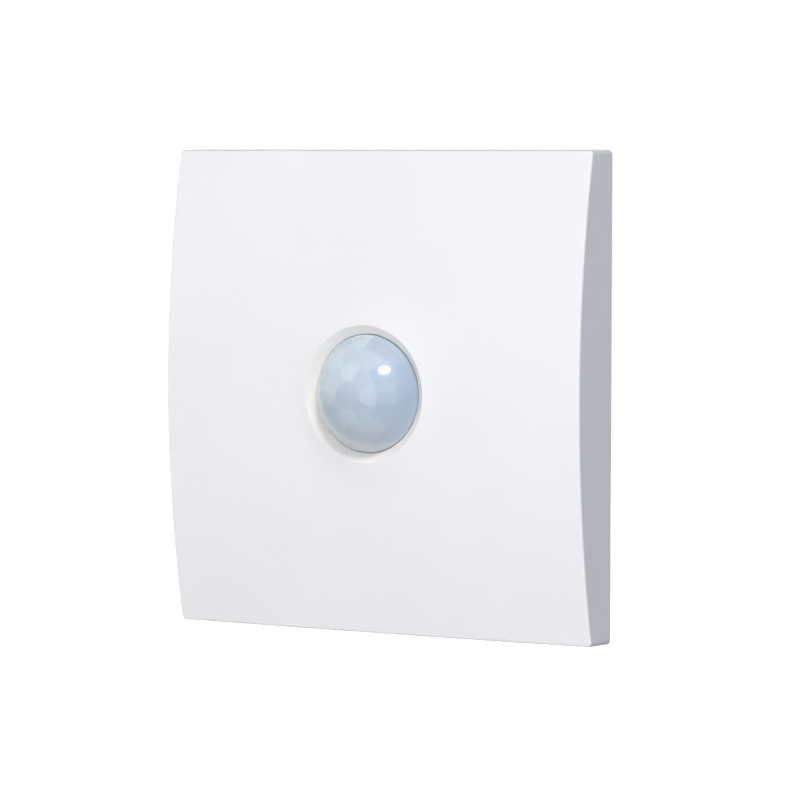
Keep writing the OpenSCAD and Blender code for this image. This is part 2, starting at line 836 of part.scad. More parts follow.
module housing_screws() {
    seat = rear_depth - screw_head_h - free_gap;
    top = seat + screw_head_h;
    cross = screw_head_r - driver_slot;
    color("silver") behind() at_corners(screw_x, screw_y) {
        disc(screw_r, free_gap - housing_roof, top - driver_slot);
        difference() {
            disc(screw_head_r, seat, top);
            for (a = [0, 90]) rotate([0, 0, a])
                span([-cross, -driver_slot / 2, top - driver_slot], [cross, driver_slot / 2, top + cut]);
        }
    }
}

module power_board() {
    color("seagreen") behind() difference() {
        slab(2 * (in_x - seat_gap), 2 * (in_y - seat_gap), board_round, board_drop, power_back);
        at_corners(screw_x, screw_y) disc(spigot_r + seat_gap, 0, power_back + cut);
        at_sides(power_screw_x) disc(board_screw_r + seat_gap, 0, power_back + cut);
        at_pins() disc(pin_hole_r, 0, power_back + cut);
        at_poles() span([-tag_w / 2 - seat_gap, tag_leg_y - tag_t - seat_gap, 0],
            [tag_w / 2 + seat_gap, tag_leg_y + seat_gap, power_back + cut]);
    }
}

module power_board_screws() {
    color("silver") behind() at_sides(power_screw_x)
        board_screw(board_drop, board_t + board_screw_bite - run_gap);
}

module relay_base() {
    inset = relay_wall + seat_gap;
    color("dimgray") behind() translate([relay_x, relay_y, power_back]) difference() {
        slab(relay_w - 2 * inset, relay_h - 2 * inset, box_round, 0, relay_base_t);
        translate([contact_x - relay_x, 0, 0])
            span([-blade_t / 2 - seat_gap, -button_r - seat_gap, -cut],
                [blade_t / 2 + seat_gap, button_r + seat_gap, relay_base_t + cut]);
    }
}

module relay_cover() {
    color("steelblue") behind() translate([relay_x, relay_y, power_back]) difference() {
        slab(relay_w, relay_h, box_round, 0, relay_d);
        slab(relay_w - 2 * relay_wall, relay_h - 2 * relay_wall, box_round, -cut, relay_d - relay_wall);
    }
}

// Bent iron strip that stands on the base and runs up beside the coil
module relay_yoke() {
    color("gray") behind() translate([0, relay_y, 0]) difference() {
        union() {
            span([yoke_x, -yoke_w / 2, yoke_z], [core_x + core_r + yoke_foot, yoke_w / 2, yoke_z + yoke_t]);
            span([yoke_x, -yoke_w / 2, yoke_z], [yoke_x + yoke_t, yoke_w / 2, pole_z]);
        }
        translate([core_x, 0, 0]) disc(core_r, 0, yoke_z + yoke_t + cut);
    }
}

module relay_core() {
    color("darkgray") behind() translate([core_x, relay_y, 0]) {
        disc(core_r, yoke_z, pole_z);
        disc(core_r + pole_lip, pole_z - pole_t, pole_z);
    }
}

module relay_bobbin() {
    color("ivory") behind() translate([core_x, relay_y, 0]) difference() {
        union() {
            disc(core_r + seat_gap + bobbin_tube, bobbin_z, bobbin_high);
            disc(coil_r + bobbin_lip, bobbin_z, bobbin_z + bobbin_flange);
            disc(coil_r + bobbin_lip, bobbin_high - bobbin_flange, bobbin_high);
        }
        disc(core_r + seat_gap, bobbin_z - cut, bobbin_high + cut);
    }
}

module relay_winding() {
    low = bobbin_z + bobbin_flange;
    color("peru") behind() translate([core_x, relay_y, 0]) difference() {
        disc(coil_r, low, low + coil_length);
        disc(core_r + seat_gap + bobbin_tube, low - cut, low + coil_length + cut);
    }
}

// Armature on the top of the yoke, with the contact blade and the moving button on its free end
module relay_armature() {
    color("gray") behind() translate([0, relay_y, 0]) {
        span([yoke_x, -yoke_w / 2, armature_z], [button_x, yoke_w / 2, armature_top]);
        span([yoke_x, -yoke_w / 2, pole_z + heel_gap], [yoke_x + yoke_t, yoke_w / 2, armature_top]);
        span([core_x, -button_r, armature_top - blade_t],
            [contact_x - blade_t, button_r, armature_top + blade_t]);
        translate([button_x, 0, 0]) disc(button_r, armature_top - button_h, armature_top);
    }
}

// Fixed contact: a blade that stands on its pin through the base, bent under the moving button
module relay_contact() {
    arm = fixed_top - button_h / 2;
    color("darkgoldenrod") behind() translate([0, relay_y, 0]) {
        span([contact_x - blade_t / 2, -button_r, power_back], [contact_x + blade_t / 2, button_r, arm]);
        span([button_x - button_r, -button_r, arm - blade_t], [contact_x, button_r, arm]);
        translate([button_x, 0, 0]) disc(button_r, arm - blade_t, fixed_top);
    }
}

module film_capacitor() {
    color("goldenrod") behind() translate([film_x, film_y, 0])
        slab(film_w, film_t, box_round, power_back, power_back + film_d);
}

// Can with a rolled crimp near its foot and a scored top
module smoothing_capacitor() {
    neck_r = smooth_r - smooth_crimp;
    score = smooth_score / 2;
    reach = neck_r - smooth_crimp;
    color("midnightblue") behind() translate([smooth_x, smooth_y, power_back]) difference() {
        rotate_extrude() polygon([
            [0, 0], [smooth_r, 0], [smooth_r, smooth_foot], [neck_r, smooth_foot + smooth_crimp],
            [neck_r, smooth_foot + 2 * smooth_crimp], [smooth_r, smooth_foot + 3 * smooth_crimp],
            [smooth_r, smooth_d - smooth_crimp], [neck_r, smooth_d], [0, smooth_d]
        ]);
        for (a = [0, 90]) rotate([0, 0, a])
            span([-reach, -score, smooth_d - smooth_score], [reach, score, smooth_d + cut]);
    }
}

// Disc on edge with two leads down to the board
module varistor() {
    centre = varistor_r + varistor_rise;
    color("navy") behind() translate([varistor_x, varistor_y, power_back]) {
        translate([0, varistor_t / 2, centre]) rotate([90, 0, 0]) cylinder(r = varistor_r, h = varistor_t);
        at_sides(varistor_r / 2) disc(lead_r, 0, centre);
    }
}

module rectifier() {
    color("dimgray") behind() translate([rectifier_at[0], rectifier_at[1], power_back])
        slab(rectifier_size[0], rectifier_size[1], box_round, 0, rectifier_size[2]);
}

// Axial body held off the board by its two bent leads
module fuse_resistor() {
    axis = power_back + fuse_r + fuse_rise;
    lead_x = fuse_length / 2 + lead_reach;
    color("lightgreen") behind() translate([fuse_x, fuse_y, 0]) {
        translate([-fuse_length / 2, 0, axis]) rotate([0, 90, 0]) cylinder(r = fuse_r, h = fuse_length);
        translate([-lead_x, 0, axis]) rotate([0, 90, 0]) cylinder(r = lead_r, h = 2 * lead_x);
        at_sides(lead_x) disc(lead_r, power_back, axis + lead_r);
    }
}

// Round body with a flat face
module driver_transistor() {
    color("dimgray") behind() translate([transistor_at[0], transistor_at[1], power_back]) intersection() {
        disc(transistor_r, 0, transistor_d);
        span([-transistor_r, -transistor_r, 0], [transistor_r, transistor_r / 2, transistor_d]);
    }
}

module terminal_block() {
    half = cage_w / 2 + free_gap;
    entry = cage_in_w / 2 + entry_gap;
    tag_half = tag_w / 2 + seat_gap;
    tag_end = tag_leg_y + seat_gap;
    color("whitesmoke") behind() difference() {
        span([-block_w / 2, block_low, power_back], [block_w / 2, block_high, rear_depth]);
        at_poles() {
            span([-half, cage_low - free_gap, cage_front - free_gap],
                [half, cage_high + free_gap, pocket_back]);
            span([-entry, block_low - cut, cage_front + cage_wall - entry_gap],
                [entry, cage_low, tag_front + entry_gap]);
            span([-tag_half, cage_low, tag_front - seat_gap], [tag_half, tag_end, tag_back + seat_gap]);
            span([-tag_half, tag_leg_y - tag_t - seat_gap, power_back - cut],
                [tag_half, tag_end, tag_back + seat_gap]);
            translate([0, clamp_y, 0]) {
                disc(clamp_r + seat_gap, pocket_back - cut, rear_depth);
                disc(clamp_head_r + free_gap, clamp_head_z - run_gap, rear_depth + cut);
            }
        }
    }
}

// Contact strips through the cages, each bent down into the power board
module terminal_tags() {
    color("darkgoldenrod") behind() at_poles() {
        span([-tag_w / 2, cage_low, tag_front], [tag_w / 2, tag_leg_y, tag_back]);
        span([-tag_w / 2, tag_leg_y - tag_t, board_drop], [tag_w / 2, tag_leg_y, tag_back]);
    }
}

// Screw with its tip at the tag, through the tapped wall of the cage, with its head in the block
module clamp_screw(i) {
    color("silver") behind() translate([pole_x(i), clamp_y, 0]) {
        disc(clamp_r, tag_back + run_gap, clamp_head_z + clamp_head_h / 2);
        difference() {
            disc(clamp_head_r, clamp_head_z, clamp_head_z + clamp_head_h);
            span([-clamp_head_r - cut, -driver_slot / 2, clamp_head_z + clamp_head_h / 2],
                [clamp_head_r + cut, driver_slot / 2, clamp_head_z + clamp_head_h + cut]);
        }
    }
}

// Square tube that the wire and the tag run through, with a thick tapped wall for the screw
module clamp_cage(i) {
    color("khaki") behind() translate([pole_x(i), 0, 0]) difference() {
        span([-cage_w / 2, cage_low, cage_front], [cage_w / 2, cage_high, nut_back]);
        span([-cage_in_w / 2, cage_low - cut, cage_front + cage_wall],
            [cage_in_w / 2, cage_high + cut, nut_front]);
        translate([0, clamp_y, 0]) disc(clamp_r + run_gap, nut_front - cut, nut_back + cut);
    }
}

module line_screw() {
    clamp_screw(0);
}

module line_cage() {
    clamp_cage(0);
}

module neutral_screw() {
    clamp_screw(1);
}

module neutral_cage() {
    clamp_cage(1);
}

module load_screw() {
    clamp_screw(2);
}

module load_cage() {
    clamp_cage(2);
}

cover_plate();
lens();
lens_ring();
front_housing();
clip_springs();
mounting_frame();
sensor_board();
sensor_board_screws();
pir_spacer();
pir_base();
pir_can();
pir_window();
light_sensor();
indicator_led();
control_chip();
board_header();
time_trimmer();
time_knob();
lux_trimmer();
lux_knob();
rear_housing();
housing_screws();
power_board();
power_board_screws();
relay_base();
relay_cover();
relay_yoke();
relay_core();
relay_bobbin();
relay_winding();
relay_armature();
relay_contact();
film_capacitor();
smoothing_capacitor();
varistor();
rectifier();
fuse_resistor();
driver_transistor();
terminal_block();
terminal_tags();
line_screw();
line_cage();
neutral_screw();
neutral_cage();
load_screw();
load_cage();
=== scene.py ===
"""Motion sensor light switch: the looks of its cover, lens and inner pieces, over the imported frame."""

import json
import math

import bpy
import numpy as np
from mathutils import Matrix, Vector


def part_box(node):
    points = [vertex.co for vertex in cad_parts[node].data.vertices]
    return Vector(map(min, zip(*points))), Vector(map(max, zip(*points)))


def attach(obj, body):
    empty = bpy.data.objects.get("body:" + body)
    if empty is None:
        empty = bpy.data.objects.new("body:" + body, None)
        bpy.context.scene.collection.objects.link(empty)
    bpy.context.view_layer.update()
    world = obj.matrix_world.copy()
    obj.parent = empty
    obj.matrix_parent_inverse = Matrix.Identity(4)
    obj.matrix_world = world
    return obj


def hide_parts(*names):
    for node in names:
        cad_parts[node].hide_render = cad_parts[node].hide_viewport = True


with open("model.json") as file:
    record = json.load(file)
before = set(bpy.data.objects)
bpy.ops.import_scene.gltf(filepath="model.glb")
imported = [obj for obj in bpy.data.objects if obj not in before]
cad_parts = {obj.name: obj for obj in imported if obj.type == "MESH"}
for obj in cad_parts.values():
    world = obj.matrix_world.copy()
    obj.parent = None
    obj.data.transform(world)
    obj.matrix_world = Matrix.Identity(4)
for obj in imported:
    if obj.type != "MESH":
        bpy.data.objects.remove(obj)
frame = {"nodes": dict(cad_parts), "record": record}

bl_info = {
    "name": "Motion sensor light switch",
    "version": (1, 0, 0),
    "blender": (4, 5, 0),
    "location": "3D View > Sidebar > Switch",
    "description": "Dresses the packed light switch with its cover, lens, finishes and studio",
    "category": "Object",
}

MM = 0.001
PLATE_LOW, PLATE_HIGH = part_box("cover_plate")
PLATE_HALF = (PLATE_HIGH.x - PLATE_LOW.x) / 2
LENS_LOW, LENS_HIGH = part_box("lens")
HOUSING_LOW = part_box("front_housing")[0]

# Step over which the slope of the cover's front is measured
NUDGE = 0.01 * MM
# Angle from level at which the rounding of the crest runs out into the flare
CREST_END = math.radians(78)
# Shares of the way up the bevel, and of the way to the front's edge, that get a ring of points of their own
BEVEL_SHARES = (0.25, 0.5, 0.75, 0.92)
EDGE_SHARES = (0.985, 0.997, 1.0)
# Rings of points over the other stretches of the cover's section
CREST_RINGS, FLARE_RINGS, FRONT_RINGS, EDGE_RINGS, SIDE_RINGS, ROOF_RINGS = 9, 14, 25, 8, 6, 12


def wall_point(x, y, z):
    """Points given as right, up the wall and out of the wall, in the frame of the part."""
    x, y, z = np.broadcast_arrays(np.asarray(x, float), np.asarray(y, float), np.asarray(z, float))
    return np.stack((x, -z, y), -1)


def even_shares(count):
    """Even steps from 0 to 1, without the 0."""
    return np.linspace(0, 1, count + 1)[1:]


def mesh_object(name, verts, faces, material, smooth=True):
    """A new mesh object in the scene, with one material."""
    mesh = bpy.data.meshes.new(name)
    mesh.from_pydata([tuple(v) for v in verts], [], faces)
    mesh.validate()
    mesh.update()
    mesh.materials.append(material)
    obj = bpy.data.objects.new(name, mesh)
    bpy.context.scene.collection.objects.link(obj)
    if smooth:
        mesh.shade_smooth()
        obj.modifiers.new("face_weights", "WEIGHTED_NORMAL").keep_sharp = True
    return obj


def paint(mesh, layer, rgb):
    """Store one colour for each point of a mesh."""
    colours = np.ones((len(mesh.vertices), 4), np.float32)
    colours[:, :3] = rgb
    mesh.color_attributes.new(layer, "FLOAT_COLOR", "POINT").data.foreach_set("color", colours.ravel())


def loft_faces(count, rings, first=0, closed=False):
    """Four-sided faces between rings of the same number of points."""
    faces = []
    for k in range(rings if closed else rings - 1):
        low, high = first + k * count, first + ((k + 1) % rings) * count
        for i in range(count):
            j = (i + 1) % count
            faces.append((low + j, low + i, high + i, high + j))
    return faces


def join_parts(parts):
    """Points and faces of several parts as one list of each."""
    verts, faces = [], []
    for part_verts, part_faces in parts:
        first = len(verts)
        verts += [tuple(v) for v in part_verts]
        faces += [tuple(first + i for i in f) for f in part_faces]
    return verts, faces


class RoundSquare:
    """A square outline with rounded corners, whose points match those of a circle one to one."""

    side_steps = 48
    corner_steps = 8
    corner_spread = math.radians(1.5)
    least_corner = 0.02 * MM

    def __init__(self, half, corner):
        self.half, self.corner = half, corner
        start, along, swing, turn = [], [], [], []
        reach = math.pi / 4 - self.corner_spread
        for quarter in range(4):
            base = quarter * math.pi / 2
            for s in range(self.side_steps):
                t = 2 * s / self.side_steps - 1
                start.append(base)
                along.append(math.sin(t * math.pi / 2))
                swing.append(0.0)
                turn.append(base + t * reach)
            for s in range(self.corner_steps):
                u = s / self.corner_steps
                start.append(base)
                along.append(1.0)
                swing.append(u * math.pi / 2)
                turn.append(base + reach + 2 * u * self.corner_spread)
        self.start, self.along, self.turn = np.array(start), np.array(along), np.array(turn)
        facing = self.start + np.array(swing)
        self.normal = np.stack((np.cos(facing), np.sin(facing)), -1)
        self.count = len(turn)

    def circle(self, r):
        """The matching points on a circle."""
        return np.stack((r * np.cos(self.turn), r * np.sin(self.turn)), -1)

    def inset(self, depth):
        """The outline moved in by a depth, which may differ from point to point."""
        radius = np.maximum(self.corner - depth, self.least_corner)
        straight = self.half - depth - radius
        ux, uy = np.cos(self.start), np.sin(self.start)
        middle = np.stack((straight * (ux - self.along * uy), straight * (uy + self.along * ux)), -1)
        return middle + np.broadcast_to(radius, (self.count,))[:, None] * self.normal


def crowned(plan, cover):
    """Height of the cover's front: an arc up the wall, and a flatter one across it."""
    crown_r = (PLATE_HALF**2 + cover.crown**2) / (2 * cover.crown)
    pillow_r = (PLATE_HALF**2 + cover.pillow**2) / (2 * cover.pillow)
    across = crown_r - pillow_r + np.sqrt(pillow_r**2 - np.square(plan[:, 0]))
    return cover.front - crown_r + np.sqrt(across**2 - np.square(plan[:, 1]))


def opening_rings(cover, outline):
    """Throat, bevel, crest and flare of the opening, as plan rings with heights."""
    rings = []
    mid = cover.crest_z - cover.crest_round
    foot = cover.crest_z - cover.bevel
    under = cover.front - cover.wall
    lip = cover.lip
    for r, z in ((cover.throat + 3 * lip, under), (cover.throat + lip, under + lip / 2),
                 (cover.throat, under + 2 * lip), (cover.throat, foot - 2 * lip),
                 (cover.throat + 0.3 * lip, foot - 0.6 * lip), (cover.throat + lip, foot + 0.4 * lip)):
        rings.append((outline.circle(r), z))
    across, down = cover.crest - cover.throat, cover.bevel - cover.crest_round
    lead = math.pi / 2 + math.atan2(down, across) + math.asin(cover.crest_round / math.hypot(across, down))
    first_r = cover.crest + cover.crest_round * math.cos(lead)
    first_z = mid + cover.crest_round * math.sin(lead)
    for t in BEVEL_SHARES:
        plan = outline.circle(cover.throat + t * (first_r - cover.throat))
        rings.append((plan, foot + t * (first_z - foot)))
    for a in np.linspace(lead, CREST_END, CREST_RINGS):
        rings.append((outline.circle(cover.crest + cover.crest_round * math.cos(a)),
                      mid + cover.crest_round * math.sin(a)))
    start_r = cover.crest + cover.crest_round * math.cos(CREST_END)
    start = outline.circle(start_r)
    slope = (crowned(outline.circle(start_r + NUDGE), cover) - crowned(start, cover)) / NUDGE
    rise = mid + cover.crest_round * math.sin(CREST_END) - crowned(start, cover)
    rise_slope = -1 / math.tan(CREST_END) - slope
    length = cover.flare - start_r
    for t in even_shares(FLARE_RINGS):
        plan = outline.circle(start_r + t * length)
        bump = rise * (2 * t**3 - 3 * t**2 + 1) + length * rise_slope * (t**3 - 2 * t**2 + t)
        rings.append((plan, crowned(plan, cover) + np.maximum(bump, 0)))
    return rings


def cover_shell(cover):
    """Closed section of the cover, from the opening over the front and the sides and back inside."""
    outline = RoundSquare(PLATE_HALF, cover.corner)
    inner = RoundSquare(PLATE_HALF - cover.wall, cover.corner)
    rings = opening_rings(cover, outline)
    edge, back, soft = cover.edge, cover.back_round, cover.inner_round
    mid = outline.inset(cover.lean + edge)
    rise = crowned(mid - NUDGE * outline.normal, cover) - crowned(mid + NUDGE * outline.normal, cover)
    fall = np.arctan(rise / (2 * NUDGE))
    rim = mid + (edge * np.sin(fall))[:, None] * outline.normal
    start = outline.circle(cover.flare)
    for t in (*even_shares(FRONT_RINGS)[:-1], *EDGE_SHARES):
        plan = start + t * (rim - start)
        rings.append((plan, crowned(plan, cover)))
    mid_z = crowned(rim, cover) - edge * np.cos(fall)
    for t in even_shares(EDGE_RINGS):
        a = fall + t * (math.pi / 2 - fall)
        rings.append((mid + (edge * np.sin(a))[:, None] * outline.normal, mid_z + edge * np.cos(a)))
    for t in even_shares(SIDE_RINGS):
        z = mid_z + t * (back - mid_z)
        rings.append((outline.inset(cover.lean * z / mid_z), z))
    for a in np.radians((30, 60, 90)):
        rings.append((outline.inset(back * (1 - math.cos(a))), back * (1 - math.sin(a))))
    for a in np.radians((90, 45, 0)):
        rings.append((inner.inset(back * (math.cos(a) - 1)), back * (1 - math.sin(a))))
    ceiling = inner.inset(soft)
    roof = crowned(ceiling, cover) - cover.wall
    for t in (0.35, 0.7, 1.0):
        rings.append((inner.inset(0), back + t * (roof - soft - back)))
    for a in np.radians((22, 45, 68, 90)):
        rings.append((inner.inset(soft * (1 - math.cos(a))), roof - soft * (1 - math.sin(a))))
    hub = outline.circle(cover.hub)
    for t in even_shares(ROOF_RINGS):
        plan = ceiling + t * (hub - ceiling)
        rings.append((plan, crowned(plan, cover) - cover.wall))
    verts = [p for plan, z in rings for p in wall_point(plan[:, 0], plan[:, 1], z)]
    return verts, loft_faces(outline.count, len(rings), closed=True)


def soft_box(low, high, r):
    """Points and faces of a box with chamfered edges, between two corners."""
    verts, faces, place = [], [], {}
    cells = [(i, j, k) for i in (0, 1) for j in (0, 1) for k in (0, 1)]
    for cell in cells:
        for axis in range(3):
            p = [(low, high)[cell[k]][k] for k in range(3)]
            for k in range(3):
                if k != axis:
                    p[k] += r if cell[k] == 0 else -r
            place[(cell, axis)] = len(verts)
            verts.append(tuple(p))

    def at(axis, a, b, c, facing):
        cell = [0, 0, 0]
        cell[axis], cell[(axis + 1) % 3], cell[(axis + 2) % 3] = a, b, c
        return place[(tuple(cell), facing)]

    for axis in range(3):
        second, third = (axis + 1) % 3, (axis + 2) % 3
        for side in (0, 1):
            loop = tuple(at(axis, side, b, c, axis) for b, c in ((0, 0), (1, 0), (1, 1), (0, 1)))
            faces.append(loop if side else loop[::-1])
        for b in (0, 1):
            for c in (0, 1):
                loop = (at(axis, 0, b, c, second), at(axis, 1, b, c, second),
                        at(axis, 1, b, c, third), at(axis, 0, b, c, third))
                faces.append(loop[::-1] if b == c else loop)
    for cell in cells:
        loop = tuple(place[(cell, axis)] for axis in range(3))
        faces.append(loop if sum(cell) % 2 else loop[::-1])
    return verts, faces


def shade(rgb, factor):
    """A colour made lighter or darker by a factor."""
    return tuple(min(1.0, c * factor) for c in rgb)


def put(node, **values):
    """Set the inputs of a shader node, named with underscores for spaces."""
    for key, value in values.items():
        node.inputs[key.replace("_", " ")].default_value = value


def run_between(ramp, low, high, first, second):
    """Make a colour ramp run from one colour to another between two places."""
    for stop, place, rgb in zip(ramp.color_ramp.elements, (low, high), (first, second)):
        stop.position, stop.color = place, (*rgb, 1)


class Finish:
    """A material under construction, with its shader at hand."""

    def __init__(self, name, **values):
        self.material = bpy.data.materials.new(name)
        self.material.use_nodes = True
        self.nodes = self.material.node_tree.nodes
        self.links = self.material.node_tree.links
        self.shader = self.nodes["Principled BSDF"]
        put(self.shader, **values)

    def coords(self, stretch=None, turn=None):
        """Places on the piece itself, stretched or turned."""
        source = self.nodes.new("ShaderNodeTexCoord").outputs["Object"]
        if stretch or turn:
            mapping = self.nodes.new("ShaderNodeMapping")
            put(mapping, Scale=stretch or (1, 1, 1), Rotation=turn or (0, 0, 0))
            self.links.new(source, mapping.inputs["Vector"])
            source = mapping.outputs["Vector"]
        return source

    def noise(self, scale, detail=2.0, stretch=None):
        """Noise over the piece."""
        node = self.nodes.new("ShaderNodeTexNoise")
        put(node, Scale=scale, Detail=detail)
        self.links.new(self.coords(stretch), node.inputs["Vector"])
        return node.outputs["Fac"]

    def colour(self, source, first, second, low=0.35, high=0.65):
        """Colour that follows a source from the first to the second."""
        node = self.nodes.new("ShaderNodeValToRGB")
        run_between(node, low, high, first, second)
        self.links.new(source, node.inputs["Fac"])
        self.links.new(node.outputs["Color"], self.shader.inputs["Base Color"])

    def multiply(self, source):
        """Multiply the colour by another."""
        socket = self.shader.inputs["Base Color"]
        mix = self.nodes.new("ShaderNodeMix")
        mix.data_type, mix.blend_type = "RGBA", "MULTIPLY"
        put(mix, Factor=1)
        self.links.new(socket.links[0].from_socket, mix.inputs["A"])
        self.links.new(source, mix.inputs["B"])
        self.links.new(mix.outputs["Result"], socket)

    def painted(self, layer):
        """Colours painted on the mesh."""
        node = self.nodes.new("ShaderNodeVertexColor")
        node.layer_name = layer
        return node.outputs["Color"]

    def recess_shade(self, reach, dark, low=0.35, high=0.85):
        """Darken the colour in narrow recesses: painted shade, strongest where nearby surfaces close round.
        """
        corners = self.nodes.new("ShaderNodeAmbientOcclusion")
        corners.samples = 8
        corners.only_local = True
        put(corners, Distance=reach)
        ramp = self.nodes.new("ShaderNodeValToRGB")
        run_between(ramp, low, high, dark, (1, 1, 1))
        self.links.new(corners.outputs["AO"], ramp.inputs["Fac"])
        self.multiply(ramp.outputs["Color"])

    def rough(self, source, low, high, start=0.3, end=0.7):
        """Roughness that follows a source between two values."""
        node = self.nodes.new("ShaderNodeMapRange")
        put(node, From_Min=start, From_Max=end, To_Min=low, To_Max=high)
        self.links.new(source, node.inputs["Value"])
        self.links.new(node.outputs["Result"], self.shader.inputs["Roughness"])

    def bump(self, source, depth, strength=0.4, edge=0.0):
        """Fine relief that follows a source, with edges that look rounded where a radius is given."""
        node = self.nodes.new("ShaderNodeBump")
        put(node, Distance=depth, Strength=strength)
        self.links.new(source, node.inputs["Height"])
        if edge:
            rounding = self.nodes.new("ShaderNodeBevel")
            rounding.samples = 4
            put(rounding, Radius=edge)
            self.links.new(rounding.outputs["Normal"], node.inputs["Normal"])
        self.links.new(node.outputs["Normal"], self.shader.inputs["Normal"])


def moulded(name, rgb, rough=0.45, drift=0.015, edge=0.15 * MM):
    """Moulded plastic: faint colour drift, a fine spark-eroded grain and uneven gloss."""
    f = Finish(name)
    f.colour(f.noise(90), shade(rgb, 1 - drift), shade(rgb, 1 + drift))
    f.rough(f.noise(900, 3), rough - 0.05, rough + 0.05)
    f.bump(f.noise(4200), 0.012 * MM, edge=edge)
    return f.material


def plated(name, rgb, rough=0.3, stretch=(1, 1, 12), edge=0.1 * MM):
    """Plated or drawn metal: fine directional lines, patchy brightness and painted shade in its recesses."""
    f = Finish(name, Metallic=1.0)
    lines = f.noise(700, 4, stretch)
    f.colour(f.noise(420, 4), shade(rgb, 0.94), shade(rgb, 1.04))
    # Painted shade: the colour darkens in recesses within 1 mm
    f.recess_shade(1 * MM, (0.3, 0.28, 0.25))
    f.rough(lines, rough - 0.04, rough + 0.06)
    f.bump(lines, 0.004 * MM, 0.1, edge)
    return f.material


def lacquered(name, rgb, track):
    """Circuit board: lacquer over tracks, which show as slightly raised paler lines."""
    f = Finish(name, Roughness=0.32)
    brick = f.nodes.new("ShaderNodeTexBrick")
    f.links.new(f.coords(turn=(math.pi / 2, 0, 0)), brick.inputs["Vector"])
    put(brick, Color1=(*rgb, 1), Color2=(*shade(rgb, 0.86), 1), Mortar=(*track, 1))
    put(brick, Scale=150, Mortar_Size=0.045, Brick_Width=1.3, Row_Height=0.42)
    f.links.new(brick.outputs["Color"], f.shader.inputs["Base Color"])
    f.bump(brick.outputs["Fac"], 0.03 * MM)
    return f.material


def wound(name, rgb):
    """Enamelled wire in close turns round the coil's core."""
    f = Finish(name, Metallic=0.6)
    wave = f.nodes.new("ShaderNodeTexWave")
    wave.bands_direction = "Y"
    put(wave, Scale=900, Distortion=0.3)
    f.links.new(f.coords(), wave.inputs["Vector"])
    f.colour(wave.outputs["Fac"], shade(rgb, 0.55), rgb, 0.2, 0.8)
    f.rough(f.noise(400), 0.25, 0.4)
    f.bump(wave.outputs["Fac"], 0.05 * MM, 0.6)
    return f.material


def tinted(name, rgb):
    """Tinted see-through plastic with slight swirls."""
    f = Finish(name, Transmission_Weight=0.5, IOR=1.49, Coat_Weight=0.4)
    f.colour(f.noise(300), shade(rgb, 0.85), rgb)
    f.rough(f.noise(500), 0.08, 0.18)
    return f.material


def cover_plastic(rgb):
    """Satin white plastic of the cover, with a very slight moulding waviness and a bevel darkened by painted
    shade.
    """
    f = Finish("cover_white", Specular_IOR_Level=0.3)
    f.colour(f.noise(38), shade(rgb, 0.99), shade(rgb, 1.01))
    # Painted shade on the bevel, from the tint stored on its points
    f.multiply(f.painted("rim_shade"))
    f.rough(f.noise(700, 3), 0.4, 0.5)
    f.bump(f.noise(2600), 0.005 * MM, 0.3)
    return f.material


def lens_plastic():
    """Pale translucent plastic of the lens, toned from facet to facet, with painted light and shade over the
    dome.
    """
    f = Finish("lens_blue", Coat_Weight=0.7, Coat_Roughness=0.07, IOR=1.5)
    put(f.shader, Subsurface_Weight=0.3, Subsurface_Scale=1 * MM, Subsurface_Radius=(0.8, 0.9, 1.0))
    f.links.new(f.painted("facet_tone_and_shade"), f.shader.inputs["Base Color"])
    f.rough(f.noise(60), 0.24, 0.28)
    return f.material


def length_setting(name, description, value):
    """A length in millimetres as a setting of the panel."""
    return bpy.props.FloatProperty(
        name=name, description=description, default=value * MM,
        unit="LENGTH", subtype="DISTANCE", precision=5)


def angle_setting(name, description, value):
    """An angle in degrees as a setting of the panel."""
    return bpy.props.FloatProperty(
        name=name, description=description, default=math.radians(value), subtype="ANGLE")


def power_setting(name, description, value):
    """A light's power in watts as a setting of the panel."""
    return bpy.props.FloatProperty(name=name, description=description, default=value, subtype="POWER")


def plain_setting(name, description, value):
    """A number without a unit as a setting of the panel."""
    return bpy.props.FloatProperty(name=name, description=description, default=value)


def colour_setting(name, description, value):
    """A colour as a setting of the panel."""
    return bpy.props.FloatVectorProperty(
        name=name, description=description, default=value, subtype="COLOR", size=3, min=0, max=1)


